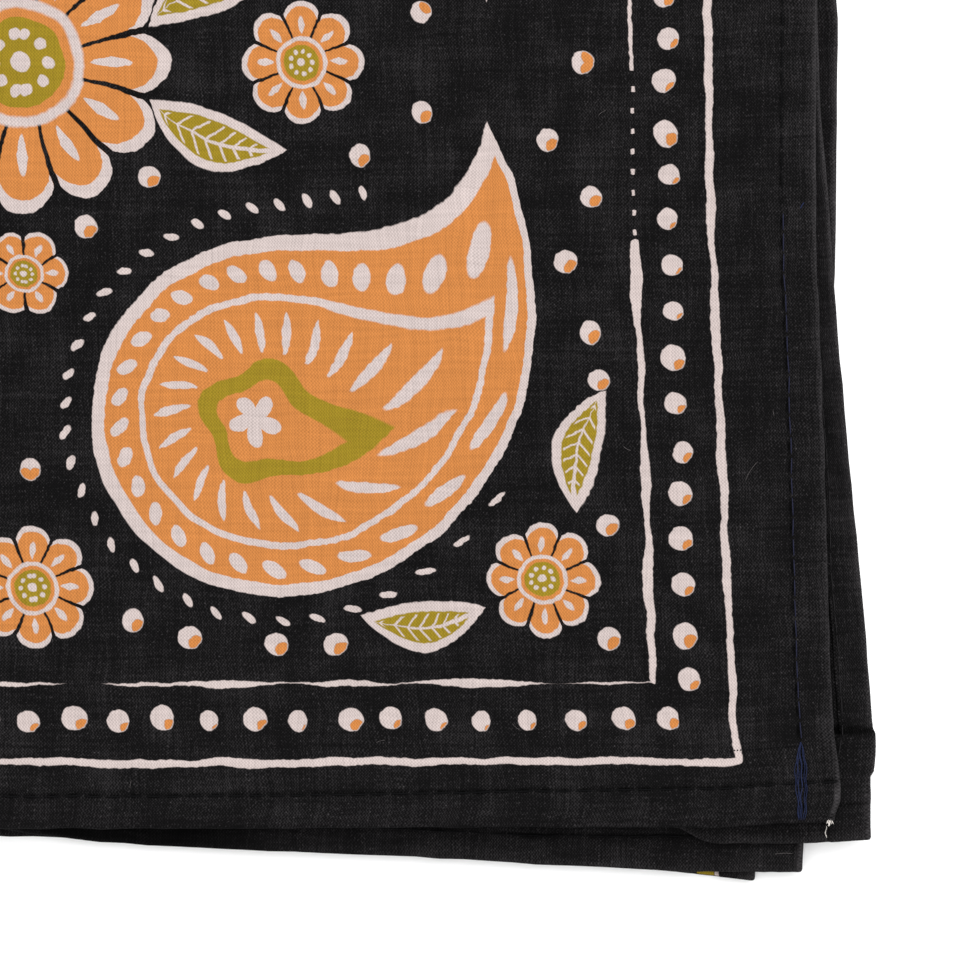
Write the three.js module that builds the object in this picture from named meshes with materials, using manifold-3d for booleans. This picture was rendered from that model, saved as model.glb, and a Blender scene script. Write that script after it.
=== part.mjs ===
// A hemmed square cotton bandana, folded in half twice and laid flat, in millimetres, +Z up.
// The first fold lies along the top (+Y) and the second along the left (-X), so the four hemmed
// corners meet, slightly fanned out, at the lower right. The front quarter and the back quarter
// are the outer ply, and the two hidden quarters between them share one solid.
import * as THREE from "three";
import Module from "manifold-3d";

// Driving sizes
const finishedSide = 560; // the whole square, hem to hem
const hemWidth = 5.3;
const clothWall = 1.0; // the thickness of one ply
const plyGap = 0.3; // between plies, and at every seam
const edgeGrooveDepth = 7; // how far in the two hidden quarters stay apart at their open edges

// Sizes worked out from them
const quarterSide = finishedSide / 2;
const plyPitch = clothWall + plyGap;
const rollRadius = plyPitch / 2; // the top fold joins neighbouring plies
const turnRadius = plyPitch; // the left fold carries a pair of plies around
const rollLength = Math.PI * rollRadius;
const turnLength = Math.PI * turnRadius;
const acrossLength = 2 * quarterSide + turnLength; // side hem to side hem, around the left fold
const upLength = 2 * quarterSide + rollLength; // bottom hem to bottom hem, over the top fold
const stackHeight = 3 * plyPitch + clothWall;
const stackMiddle = stackHeight / 2;

const stepsInTurn = 8;
const stepsInRoll = 6;
const stepsInHemEdge = 4;

const cottonBlack = new THREE.MeshStandardMaterial({ color: 0x232223, roughness: 0.92, metalness: 0 });
const cottonReverse = new THREE.MeshStandardMaterial({ color: 0x2b2a2b, roughness: 0.95, metalness: 0 });

// Where each quarter's hemmed edges lie beside the ideal square. Side edges: up = mm above the
// corner, right = mm outwards. Bottom edges: left = mm from the corner, rise = mm upwards.
const sideEdges = {
  front: [
    { up: 0, right: -0.5 }, { up: 3, right: 0.3 }, { up: 5.5, right: 0.3 }, { up: 8, right: 0 },
    { up: 15, right: -0.8 }, { up: 26, right: -1.3 }, { up: 49, right: -1.9 }, { up: 71, right: -2.7 },
    { up: 93, right: -3.2 }, { up: 116, right: -3.1 }, { up: 200, right: -2.2 }, { up: 280, right: -1.8 },
  ],
  second: [
    { up: 0, right: 4.6 }, { up: 8, right: 4.5 }, { up: 9, right: 5.0 }, { up: 13, right: 5.3 },
    { up: 15, right: 4.8 }, { up: 26, right: 3.8 }, { up: 49, right: 1.8 }, { up: 71, right: -0.1 },
    { up: 90, right: -1.5 }, { up: 108, right: -2.6 }, { up: 150, right: -3.0 }, { up: 280, right: -1.8 },
  ],
  third: [
    { up: 0, right: -5.0 }, { up: 30, right: -3.2 }, { up: 60, right: -1.6 }, { up: 88, right: -0.4 },
    { up: 121, right: 0 }, { up: 122.5, right: -0.8 }, { up: 170, right: -1.2 }, { up: 280, right: -1.5 },
  ],
  back: [
    { up: 0, right: -11.6 }, { up: 40, right: -9.2 }, { up: 80, right: -6.4 }, { up: 116, right: -4.2 },
    { up: 200, right: -2.0 }, { up: 280, right: -1.5 },
  ],
};
const bottomEdges = {
  front: [
    { left: 0, rise: 0.8 }, { left: 8, rise: 0.6 }, { left: 17, rise: 0.1 }, { left: 47, rise: 0.1 },
    { left: 90, rise: -0.1 }, { left: 160, rise: 0.1 }, { left: 280, rise: 0 },
  ],
  second: [
    { left: 0, rise: -1.7 }, { left: 10, rise: -2.2 }, { left: 22, rise: -2.2 }, { left: 28, rise: -1.3 },
    { left: 40, rise: -0.6 }, { left: 120, rise: 0.4 }, { left: 280, rise: 1.0 },
  ],
  third: [
    { left: 0, rise: -6.3 }, { left: 16, rise: -6.2 }, { left: 23, rise: -5.9 }, { left: 34, rise: -5.4 },
    { left: 57, rise: -4.1 }, { left: 85, rise: -2.5 }, { left: 114, rise: -0.8 }, { left: 160, rise: 0.7 },
    { left: 280, rise: 1.0 },
  ],
  back: [
    { left: 0, rise: -7.5 }, { left: 9, rise: -6.6 }, { left: 20, rise: -5.6 }, { left: 50, rise: -3.8 },
    { left: 100, rise: -1.6 }, { left: 160, rise: -0.4 }, { left: 280, rise: 0 },
  ],
};

// Soft swells in the lying cloth. x and y are from the front corner, angle is the long
// direction in degrees, long and broad are half widths in mm, height is at the top ply.
const swells = [
  { x: -60, y: 70, angle: 40, long: 60, broad: 28, height: 0.5 },
  { x: -11, y: 85, angle: 88, long: 45, broad: 7, height: 0.35 },
  { x: -118, y: 60, angle: 95, long: 50, broad: 12, height: -0.3 },
  { x: -24, y: 6, angle: 80, long: 14, broad: 6, height: 0.25 },
  { x: -150, y: 150, angle: 20, long: 80, broad: 34, height: 0.6 },
  { x: -215, y: 70, angle: 115, long: 60, broad: 24, height: 0.4 },
  { x: -80, y: 215, angle: 160, long: 60, broad: 22, height: 0.45 },
  { x: -230, y: 225, angle: 135, long: 45, broad: 26, height: -0.35 },
];

const quarterStops = [7.5, 10.5, 14, 18.5, 25, 33, 43, 56, 72, 90, 110, 132, 156, 182, 208, 232, 252, 268];

// Smooth interpolation through the rows of an edge table.
function along(rows, key, value, at) {
  const last = rows.length - 1;
  let i = 0;
  while (i < last - 1 && at > rows[i + 1][key]) i += 1;
  const slope = (a, b) => (rows[b][value] - rows[a][value]) / (rows[b][key] - rows[a][key]);
  const span = rows[i + 1][key] - rows[i][key];
  const here = slope(i, i + 1);
  const eased = (before, after) => (before * after <= 0 ? 0 : (2 * before * after) / (before + after));
  const startSlope = i > 0 ? eased(slope(i - 1, i), here) : here;
  const endSlope = i + 1 < last ? eased(here, slope(i + 1, i + 2)) : here;
  const t = THREE.MathUtils.clamp((at - rows[i][key]) / span, 0, 1);
  const h1 = t * t * (3 - 2 * t);
  return (
    rows[i][value] * (1 - h1) +
    rows[i + 1][value] * h1 +
    span * (startSlope * t * (1 - t) ** 2 - endSlope * t * t * (1 - t))
  );
}

function swellAt(x, y) {
  let height = 0;
  for (const s of swells) {
    const a = THREE.MathUtils.degToRad(s.angle);
    const lengthwise = ((x - s.x) * Math.cos(a) + (y - s.y) * Math.sin(a)) / s.long;
    const crosswise = ((y - s.y) * Math.cos(a) - (x - s.x) * Math.sin(a)) / s.broad;
    height += s.height * Math.exp(-lengthwise * lengthwise - crosswise * crosswise);
  }
  return height;
}

function quarterName(across, up) {
  const upper = across < quarterSide + turnLength / 2;
  const outer = up < quarterSide + rollLength / 2;
  if (upper) return outer ? "front" : "second";
  return outer ? "back" : "third";
}

// A point of the folded cloth. across is the way from the upper side hem, around the left fold;
// up is the way from the outer bottom hem, over the top fold; out is off the ply's middle, on
// the printed side.
function place(across, up, out) {
  let y = Math.min(up, upLength - up);
  let offset = up < upLength / 2 ? rollRadius + out : -(rollRadius + out);
  if (y > quarterSide) {
    const turned = (up - quarterSide) / rollRadius;
    y = quarterSide + (rollRadius + out) * Math.sin(turned);
    offset = (rollRadius + out) * Math.cos(turned);
  }
  let x = -Math.min(across, acrossLength - across);
  let level = across < acrossLength / 2 ? turnRadius + offset : -(turnRadius + offset);
  if (x < -quarterSide) {
    const turned = (across - quarterSide) / turnRadius;
    x = -quarterSide - (turnRadius + offset) * Math.sin(turned);
    level = (turnRadius + offset) * Math.cos(turned);
  }
  const quarter = quarterName(across, up);
  const fromFoldX = THREE.MathUtils.clamp(1 + x / quarterSide, 0, 1);
  const fromFoldY = THREE.MathUtils.clamp(1 - y / quarterSide, 0, 1);
  const nearFoldY = Math.min(Math.max(y, 0), quarterSide);
  const nearFoldX = Math.min(Math.max(-x, 0), quarterSide);
  const shiftX = along(sideEdges[quarter], "up", "right", nearFoldY) * fromFoldX ** 2;
  const shiftY = along(bottomEdges[quarter], "left", "rise", nearFoldX) * fromFoldY ** 2;
  const lift = 1 + swellAt(x + shiftX, y + shiftY) / stackHeight;
  return new THREE.Vector3(x + shiftX, y + shiftY, (stackMiddle + level) * lift);
}

// A closed geometry from points and faces, turned so that its faces point out.
function closedGeometry(points, quads, triangles = []) {
  const faces = [...triangles];
  for (const [a, b, c, d] of quads) faces.push([a, b, c], [a, c, d]);
  let volume = 0;
  const across = new THREE.Vector3();
  for (const [a, b, c] of faces) volume += points[a].dot(across.crossVectors(points[b], points[c]));
  const indices = faces.flatMap(([a, b, c]) => (volume > 0 ? [a, b, c] : [a, c, b]));
  const geometry = new THREE.BufferGeometry().setFromPoints(points);
  geometry.setIndex(indices);
  geometry.computeVertexNormals();
  return geometry;
}

// A slab between two surfaces over the same grid of stops: the wall of a ply, or a filling.
function slab(acrossStops, upStops, surfaceA, surfaceB) {
  const points = [];
  for (const surface of [surfaceA, surfaceB]) {
    for (const u of upStops) for (const a of acrossStops) points.push(surface(a, u));
  }
  const wide = acrossStops.length;
  const high = upStops.length;
  const id = (side, i, j) => side * wide * high + j * wide + i;
  const quads = [];
  for (let j = 0; j < high - 1; j += 1) {
    for (let i = 0; i < wide - 1; i += 1) {
      quads.push([id(0, i, j), id(0, i + 1, j), id(0, i + 1, j + 1), id(0, i, j + 1)]);
      quads.push([id(1, i, j), id(1, i, j + 1), id(1, i + 1, j + 1), id(1, i + 1, j)]);
    }
  }
  const rim = [];
  for (let i = 0; i < wide - 1; i += 1) rim.push([i, 0]);
  for (let j = 0; j < high - 1; j += 1) rim.push([wide - 1, j]);
  for (let i = wide - 1; i > 0; i -= 1) rim.push([i, high - 1]);
  for (let j = high - 1; j > 0; j -= 1) rim.push([0, j]);
  rim.forEach(([i, j], k) => {
    const [i2, j2] = rim[(k + 1) % rim.length];
    quads.push([id(0, i2, j2), id(0, i, j), id(1, i, j), id(1, i2, j2)]);
  });
  return closedGeometry(points, quads);
}

function plyWall(acrossStops, upStops) {
  const face = (side) => (a, u) => place(a, u, (side * clothWall) / 2);
  return slab(acrossStops, upStops, face(1), face(-1));
}

// A hem: its cross-section, flat inside and rounded at the cloth's edge, carried along the stops.
function hemBand(stops, toPoint) {
  const half = clothWall / 2;
  const section = [[hemWidth, half], [hemWidth / 2, half]];
  for (let k = 0; k <= stepsInHemEdge; k += 1) {
    const angle = (Math.PI * k) / stepsInHemEdge;
    section.push([half - half * Math.sin(angle), half * Math.cos(angle)]);
  }
  section.push([hemWidth / 2, -half], [hemWidth, -half]);
  const points = stops.flatMap((stop) => section.map(([fromEdge, out]) => toPoint(stop, fromEdge, out)));
  const n = section.length;
  const quads = [];
  for (let s = 0; s < stops.length - 1; s += 1) {
    for (let k = 0; k < n; k += 1) {
      const next = (k + 1) % n;
      quads.push([s * n + k, (s + 1) * n + k, (s + 1) * n + next, s * n + next]);
    }
  }
  const caps = [];
  const end = (stops.length - 1) * n;
  for (let k = 1; k < n - 1; k += 1) caps.push([0, k, k + 1], [end, end + k + 1, end + k]);
  return closedGeometry(points, quads, caps);
}

function evenStops(from, to, steps) {
  return Array.from({ length: steps + 1 }, (_, k) => from + ((to - from) * k) / steps);
}

// Stops from one hem to the far one along a folded length, with the fold itself stepped finely.
function foldedStops(foldLength, foldSteps, atHem) {
  const total = 2 * quarterSide + foldLength;
  const run = [...atHem, ...quarterStops];
  const fold = evenStops(quarterSide, quarterSide + foldLength, foldSteps);
  return [...run, ...fold, ...run.map((s) => total - s).reverse()];
}

const between = (stops, from, to) => stops.filter((s) => s >= from - 1e-9 && s <= to + 1e-9);

const panelEdge = hemWidth + plyGap;
const acrossAll = foldedStops(turnLength, stepsInTurn, [panelEdge]);
const upAll = foldedStops(rollLength, stepsInRoll, [panelEdge]);
const turnEnd = quarterSide + turnLength;
const rollEnd = quarterSide + rollLength;

function frontQuarter() {
  return plyWall(between(acrossAll, 0, turnEnd), between(upAll, 0, rollEnd));
}

function backQuarter() {
  const acrossStops = [turnEnd + plyGap, ...between(acrossAll, turnEnd + 1, acrossLength)];
  return plyWall(acrossStops, between(upAll, 0, rollEnd));
}

// The second and third quarters: one ply wall around the left fold, filled between the plies
// except near its open edges, where they stay layered.
async function hiddenQuarters() {
  const wasm = await Module();
  wasm.setup();
  const toSolid = (geometry) =>
    new wasm.Manifold(
      new wasm.Mesh({
        numProp: 3,
        vertProperties: new Float32Array(geometry.attributes.position.array),
        triVerts: new Uint32Array(geometry.index.array),
      }),
    );
  const upStops = [rollEnd + plyGap, ...between(upAll, rollEnd + 1, upLength)];
  const wall = plyWall(acrossAll, upStops);
  const fillAcross = evenStops(panelEdge + edgeGrooveDepth, quarterSide - 1, 12);
  const fillUp = evenStops(rollEnd + 2, upLength - panelEdge - edgeGrooveDepth, 12);
  const filling = slab(
    fillAcross,
    fillUp,
    (a, u) => place(a, u, 0),
    (a, u) => place(acrossLength - a, u, 0),
  );
  const joined = toSolid(wall).add(toSolid(filling)).getMesh();
  const geometry = new THREE.BufferGeometry();
  geometry.setAttribute("position", new THREE.BufferAttribute(joined.vertProperties, 3));
  geometry.setIndex(new THREE.BufferAttribute(joined.triVerts, 1));
  geometry.computeVertexNormals();
  return geometry;
}

// A side hem runs from one corner up, over the top fold, and down to the corner behind it.
function sideHem(lower) {
  const stops = foldedStops(rollLength, stepsInRoll, [0, 3, panelEdge]);
  const toAcross = (fromEdge) => (lower ? acrossLength - fromEdge : fromEdge);
  return hemBand(stops, (up, fromEdge, out) => place(toAcross(fromEdge), up, out));
}

// A bottom hem runs between the side hems, around the left fold.
function bottomHem(inner) {
  const toUp = (fromEdge) => (inner ? upLength - fromEdge : fromEdge);
  return hemBand(acrossAll, (across, fromEdge, out) => place(across, toUp(fromEdge), out));
}

const pieces = [
  ["front_quarter", frontQuarter(), cottonBlack],
  ["hidden_quarters", await hiddenQuarters(), cottonReverse],
  ["back_quarter", backQuarter(), cottonBlack],
  ["side_hem_upper", sideHem(false), cottonBlack],
  ["side_hem_lower", sideHem(true), cottonBlack],
  ["bottom_hem_outer", bottomHem(false), cottonBlack],
  ["bottom_hem_inner", bottomHem(true), cottonBlack],
];

const bandana = new THREE.Group();
for (const [name, geometry, material] of pieces) {
  const mesh = new THREE.Mesh(geometry, material);
  mesh.name = name;
  bandana.add(mesh);
}

// The origin is under the middle of the folded stack, on the surface that it lies on.
const box = new THREE.Box3().setFromObject(bandana);
bandana.position.set(-(box.min.x + box.max.x) / 2, -(box.min.y + box.max.y) / 2, -box.min.z);

export default bandana;
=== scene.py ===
import math
import random
import bpy
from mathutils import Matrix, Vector, noise


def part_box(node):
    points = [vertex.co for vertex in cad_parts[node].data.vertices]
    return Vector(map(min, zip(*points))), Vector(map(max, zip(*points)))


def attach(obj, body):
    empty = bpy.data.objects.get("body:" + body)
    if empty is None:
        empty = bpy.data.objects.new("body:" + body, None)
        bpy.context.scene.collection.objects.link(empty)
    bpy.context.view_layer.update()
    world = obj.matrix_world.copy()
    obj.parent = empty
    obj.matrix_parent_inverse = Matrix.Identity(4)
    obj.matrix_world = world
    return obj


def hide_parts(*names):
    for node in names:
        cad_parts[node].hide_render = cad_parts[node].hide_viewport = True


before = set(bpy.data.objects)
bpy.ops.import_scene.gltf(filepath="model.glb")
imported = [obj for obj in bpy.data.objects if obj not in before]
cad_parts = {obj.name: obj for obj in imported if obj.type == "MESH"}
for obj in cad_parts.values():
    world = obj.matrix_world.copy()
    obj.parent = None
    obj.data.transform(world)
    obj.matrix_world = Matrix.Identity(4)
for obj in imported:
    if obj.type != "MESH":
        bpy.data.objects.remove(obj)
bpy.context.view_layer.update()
scene = bpy.context.scene
mm = 0.001

# A square of hemmed cotton, folded in half twice. The front quarter lies on top, then the second,
# the third and the back one. Every length in these dictionaries is in millimetres.
square = {
    "side": 560.0,  # the whole bandana, hem to hem
    "thick": 0.28,
    "hem": 5.3,
    "tuckedIn": 3.9,  # raw edge turned in under the hem
    "tuckRadius": 0.17,
    "hemRadius": 0.34,
    "cornerRadius": 0.68,  # the side hem goes over the bottom one at a corner
    "cornerFrom": 5.6,  # that thicker fold ends between these heights
    "cornerTo": 9.0,
    "stitch": 2.86,
    "seam": 4.9,  # the row of stitches, from the edge
    "pastSeam": 0.4,  # how far a hem goes beyond it
}
folds = {
    "topRadius": 1.025,  # front to second quarter
    "leftRadius": 1.245,  # a pair of plies around the left fold
    "middle": 2.45,  # height between the second and third quarters
    "sag": 0.42,  # how far a ply sinks away from its thick hems
    "stack": 4.9,
}
cadPly = {"wall": 1.0, "roll": 0.65, "turn": 1.3}  # the solids' wall and folds, which give the corner

quarter = square["side"] / 2
half = square["thick"] / 2
acrossLength = 2 * quarter + math.pi * folds["leftRadius"]
upLength = 2 * quarter + math.pi * folds["topRadius"]
hemZones = [  # the parts of a hem, from the raw edge, and their lengths in the cut cloth
    ("flap", square["tuckedIn"]), ("tuck", math.pi * square["tuckRadius"]),
    ("back", square["hem"] - square["tuckRadius"] - square["hemRadius"]),
    ("turn", math.pi * square["hemRadius"])]
allowance = sum(span for _, span in hemZones)
cutStart = allowance - square["hemRadius"]  # from the raw edge to where the hem's fold begins
cutAcross = acrossLength + 2 * cutStart
cutUp = upLength + 2 * cutStart

solidLow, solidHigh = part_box("front_quarter")
cornerX = solidLow.x / mm + quarter + cadPly["turn"] + cadPly["roll"] + cadPly["wall"] / 2
cornerY = solidHigh.y / mm - quarter - cadPly["roll"] - cadPly["wall"] / 2

# Where each quarter's hemmed edges lie beside the ideal square.
sideEdges = {  # (mm above the corner, mm to the right)
    "front": [(0, -0.6), (1, -0.4), (3.1, 0.3), (5.2, 0.3), (7.3, 0.0), (10.8, -0.4), (15, -0.8),
              (26, -1.3), (37, -1.6), (49, -1.9), (60, -2.3), (71, -2.7), (79, -3.1), (93, -3.2),
              (116, -3.1), (160, -2.6), (220, -2.0), (280, -1.8)],
    "second": [(0, 4.6), (8.7, 4.5), (9.2, 4.95), (12.6, 5.25), (14.6, 5.2), (15.3, 4.9), (16.5, 4.75),
               (26, 4.05), (37, 3.05), (49, 1.85), (60, 0.85), (71, -0.15), (76, -0.5), (90, -1.5),
               (102, -2.5), (116, -2.9), (160, -2.8), (280, -1.8)],
    "third": [(0, -5.0), (30, -3.2), (60, -1.6), (87, -0.3), (100, -0.2), (121, 0.0), (122.5, -0.8),
              (170, -1.2), (280, -1.5)],
    "back": [(0, -11.6), (40, -9.2), (80, -6.4), (116, -4.2), (200, -2.0), (280, -1.5)],
}
bottomEdges = {  # (mm left of the corner, mm upwards)
    "front": [(0, 0.8), (5.3, 0.7), (8, 0.6), (16.5, 0.1), (28, 0.07), (47, 0.1), (89, -0.1),
              (117, -0.1), (160, 0.1), (280, 0.0)],
    "second": [(0, -1.7), (10, -2.2), (20.5, -2.25), (22, -2.0), (24.3, -1.0), (26.3, 0.0), (31, 0.3),
               (120, 0.5), (280, 1.0)],
    "third": [(0, -6.3), (16, -6.2), (23, -5.9), (34, -5.4), (57, -4.1), (70, -3.6), (85, -2.95),
              (96, -2.4), (103, -1.85), (110, -1.05), (118, 0.0), (160, 0.7), (280, 1.0)],
    "back": [(0, -7.5), (9, -6.6), (20, -5.6), (50, -3.8), (100, -1.6), (160, -0.4), (280, 0.0)],
}
seams = {  # the rows of stitches that wander: (mm along the hem, mm from the edge)
    ("front", "bottom"): [(0, 5.7), (39, 5.1), (61, 4.75), (110, 4.5), (280, 4.7)],
    ("second", "side"): [(0, 5.0), (13.6, 5.0), (15.2, 3.95), (38, 3.95), (43, 3.5), (50, 3.1), (60, 3.0),
                         (280, 3.6)],
    ("third", "bottom"): [(0, 5.0), (17, 4.75), (29, 4.2), (35, 4.05), (45, 3.7), (76, 3.7), (280, 4.5)],
}
faint = {  # the rows that show less: (mm along the hem, share)
    ("front", "side"): [(0, 1), (84, 1), (94, 0.35), (280, 0.35)],
    ("third", "side"): [(0, 0.3), (280, 0.3)],
}
shadowed = [(0, 0), (76, 0), (86, 0.8), (106, 0.85), (114, 0.35), (280, 0.3)]  # the third's bottom hem
swells = [  # (x, y, long direction in degrees, half length, half breadth, height) of the lying stack
    (-60, 70, 40, 60, 28, 0.5), (-11, 85, 88, 45, 7, 0.35), (-118, 60, 95, 50, 12, -0.3),
    (-24, 6, 80, 14, 6, 0.25), (-150, 150, 20, 80, 34, 0.6), (-215, 70, 115, 60, 24, 0.4),
    (-80, 215, 160, 60, 22, 0.45), (-230, 225, 135, 45, 26, -0.35),
]
creases = [  # the same columns, for the front quarter's own soft creases
    (-9.5, 88, 91, 26, 1.5, 0.16), (-13.0, 80, 92, 30, 2.2, -0.12), (-45, 34, 28, 32, 3.5, 0.1),
    (-88, 84, 62, 30, 4.5, -0.12), (-30, 55, 118, 26, 4.0, 0.09), (-95, 30, 12, 34, 3.0, 0.08),
    (-140, 96, 150, 40, 5.0, 0.12), (-70, 150, 38, 44, 5.0, -0.12), (-190, 170, 75, 50, 6.0, 0.14),
    (-220, 110, 20, 46, 5.0, -0.12), (-130, 230, 8, 50, 5.0, 0.12), (-252, 60, 100, 40, 4.0, 0.1),
]
pleat = [(1.5, 14.3, 1, 9, 0.45, 0.3), (1.5, 13.3, 1, 9, 0.6, -0.45)]  # across the second quarter's hem
# painted shade across the pleat: the same columns, with darkness in place of height
pleatShade = [(1.5, 13.2, 1, 9, 0.5, 1.1), (0.6, 14.0, -4, 3.2, 0.22, 0.8)]
cornerLift = {"front": 0.75, "second": 0.35, "third": 0.35, "back": 0.0}  # over the thick hem corners
groove = {  # the pull of the stitches, and the painted shade in the groove that it leaves
    "deep": 0.17, "wide": 0.34, "pucker": 0.08, "puckerWide": 1.1, "reach": 12,
    "darkWide": 0.22, "dark": 0.66, "darkLuck": 0.35, "darkPricks": 0.36, "darkWander": 0.2,
    "pleatDark": 0.85,
}
wobble = [(0.16, 5, 0), (0.1, 1.7, 20)]  # an edge's waver: (mm, over what length, seed)
ripples = [(0.035, 9, 3.0), (0.02, 3.2, 8.0)]  # a ply's own unevenness, in the same columns


def along(rows, at):  # smooth interpolation through a table's rows
    i = 0
    while i < len(rows) - 2 and at > rows[i + 1][0]:
        i += 1
    t = min(max((at - rows[i][0]) / (rows[i + 1][0] - rows[i][0]), 0), 1)
    slopes = [(b[1] - a[1]) / (b[0] - a[0]) for a, b in zip(rows, rows[1:])]

    def eased(k):
        if k <= 0 or k >= len(slopes):
            return slopes[min(max(k, 0), len(slopes) - 1)]
        before, after = slopes[k - 1], slopes[k]
        return 0 if before * after <= 0 else 2 * before * after / (before + after)

    span = rows[i + 1][0] - rows[i][0]
    blend = t * t * (3 - 2 * t)
    bulge = span * (eased(i) * t * (1 - t) ** 2 - eased(i + 1) * t * t * (1 - t))
    return rows[i][1] * (1 - blend) + rows[i + 1][1] * blend + bulge


def step(x, low, high):
    t = min(max((x - low) / (high - low), 0), 1)
    return t * t * (3 - 2 * t)


def ridge(rows, x, y):
    height = 0
    for midX, midY, angle, long, broad, high in rows:
        c, s = math.cos(math.radians(angle)), math.sin(math.radians(angle))
        offX, offY = x - midX, y - midY
        e = ((offX * c + offY * s) / long) ** 2 + ((offY * c - offX * s) / broad) ** 2
        if e < 12:
            height += high * math.exp(-e)
    return height


def quarterOf(across, up):
    if across < acrossLength / 2:
        return "front" if up < upLength / 2 else "second"
    return "back" if up < upLength / 2 else "third"


def seamFrom(name, edge, at):  # the stitches' distance from the edge, at that way along it
    return along(seams[(name, edge)], min(max(at, 0), quarter)) if (name, edge) in seams else square["seam"]


def bothHems(fromSide, fromBottom):  # (edge, off it, along it)
    return ("side", fromSide, fromBottom), ("bottom", fromBottom, fromSide)


def shadeAt(name, fromSide, fromBottom, x, y):  # how dark: painted shade in the seams' grooves, stronger at the stitches, painted shade in a tight pleat, and a painted shadow on the third's bottom hem
    dark = 0
    for kind, off, at in bothHems(fromSide, fromBottom):
        beyond = off - seamFrom(name, kind, at)
        wander = noise.noise((at / 1.9, 12.0 if kind == "side" else 30.0, len(name)))
        luck = noise.noise((at / 3.4, 50.0 if kind == "side" else 70.0, len(name)))
        beyond += groove["darkWander"] * wander
        # painted shade along the seam's groove, in dashes at the stitch pitch
        grooveShade = groove["dark"] + groove["darkLuck"] * luck
        grooveShade -= groove["darkPricks"] * math.cos(2 * math.pi * at / square["stitch"])
        if (name, kind) in faint:
            grooveShade *= along(faint[(name, kind)], at)
        dark = max(dark, grooveShade * math.exp(-((beyond / groove["darkWide"]) ** 2)))
    if name == "second":
        dark = max(dark, groove["pleatDark"] * ridge(pleatShade, x, y))
    if name == "third":
        dark = max(dark, along(shadowed, fromSide) * (1 - step(fromBottom, 4, 6)))
    return dark


def relief(name, fromSide, fromBottom, x, y):  # small rises of one ply, on top of the stack's own form
    edge = min(fromSide, fromBottom)
    rise = sum(high * noise.noise((x / over, y / over, seed)) for high, over, seed in ripples)
    if name in ("front", "third"):
        inside = step(fromSide, 5, 15) * step(fromBottom, 5, 15)
        atFold = step(quarter - fromSide, 0, 30) * step(quarter - fromBottom, 0, 30)
        rise -= folds["sag"] * inside * atFold
    if name == "front":
        rise += ridge(creases, x, y)
    if name == "second":
        rise += ridge(pleat, x, y)
    for kind, off, at in bothHems(fromSide, fromBottom):
        if off > groove["reach"] or at > quarter or edge < 0:
            continue
        beyond = off - seamFrom(name, kind, at)
        wave = math.cos(2 * math.pi * at / square["stitch"])
        rise -= groove["deep"] * math.exp(-((beyond / groove["wide"]) ** 2)) * (1 - 0.35 * wave)
        gather = math.exp(-abs(beyond) / groove["puckerWide"]) * (0.7 + noise.noise((at / 7, off / 4, 2.0)))
        rise += groove["pucker"] * wave * gather
        rise += groove["pucker"] * noise.noise((at / 4.5, off / 9, 5.0)) * step(groove["reach"] - off, 0, 6)
    return rise


def place(across, up, out):  # a point of the folded cloth. out is off its middle, to the printed side
    roll, turn = folds["topRadius"], folds["leftRadius"]
    fromSide, fromBottom = min(across, acrossLength - across), min(up, upLength - up)
    name = quarterOf(across, up)
    y, offset = fromBottom, (roll + out if up < upLength / 2 else -(roll + out))
    if fromBottom > quarter:
        bend = (up - quarter) / roll
        y, offset = quarter + (roll + out) * math.sin(bend), (roll + out) * math.cos(bend)
    x, level = -fromSide, (turn + offset if across < acrossLength / 2 else -(turn + offset))
    if fromSide > quarter:
        bend = (across - quarter) / turn
        x, level = -quarter - (turn + offset) * math.sin(bend), (turn + offset) * math.cos(bend)
    freeX, freeY = min(max(1 + x / quarter, 0), 1), min(max(1 - y / quarter, 0), 1)
    wobbleX = wobbleY = 0
    for high, over, seed in wobble:
        wobbleX += high * noise.noise((y / over, 40 + seed + len(name), 0))
        wobbleY += high * noise.noise((x / over, 80 - 3 * seed + len(name), 0))
    atX, atY = min(max(-x, 0), quarter), min(max(y, 0), quarter)
    newX = x + (along(sideEdges[name], atY) + wobbleX * step(12 + x, 0, 10)) * freeX ** 2
    newY = y + (along(bottomEdges[name], atX) + wobbleY * step(12 - y, 0, 10)) * freeY ** 2
    heap = math.exp(-((newX + 7) / 9) ** 2 - ((newY - 1) / 9) ** 2)
    z = (folds["middle"] + level) * (1 + ridge(swells, newX, newY) / folds["stack"])
    if name != "back":
        z += cornerLift[name] * heap
        z += relief(name, fromSide, fromBottom, newX, newY)
    return Vector(((cornerX + newX) * mm, (cornerY + newY) * mm, z * mm))


def darkness(across, up, point):  # the shade attribute of one of the cloth's points
    fromSide, fromBottom = min(across, acrossLength - across), min(up, upLength - up)
    x, y = point.x / mm - cornerX, point.y / mm - cornerY
    return shadeAt(quarterOf(across, up), fromSide, fromBottom, x, y)


# The camera looks straight down on the open corner, as the photograph does.
view = {"width": 137.2, "middleX": -48.7, "middleY": 47.2, "distance": 1300.0, "sensor": 36.0}


def addObject(name, data):
    added = bpy.data.objects.new(name, data)
    scene.collection.objects.link(added)
    return added


def makeCamera():
    data = bpy.data.cameras.new("photoCamera")
    data.sensor_width = view["sensor"]
    data.lens = view["sensor"] * view["distance"] / view["width"]
    camera = addObject("photoCamera", data)
    camera.location = ((cornerX + view["middleX"]) * mm, (cornerY + view["middleY"]) * mm,
                       (view["distance"] + folds["stack"]) * mm)
    data.clip_start, data.clip_end = 0.05, 20
    scene.camera = camera


makeCamera()
print("camera set")


# Materials. A Wire is a number in a node tree, so a pattern is written as a formula.
def feed(tree, socket, value):
    if isinstance(value, Wire):
        tree.links.new(value.socket, socket)
    else:
        socket.default_value = value


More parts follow.
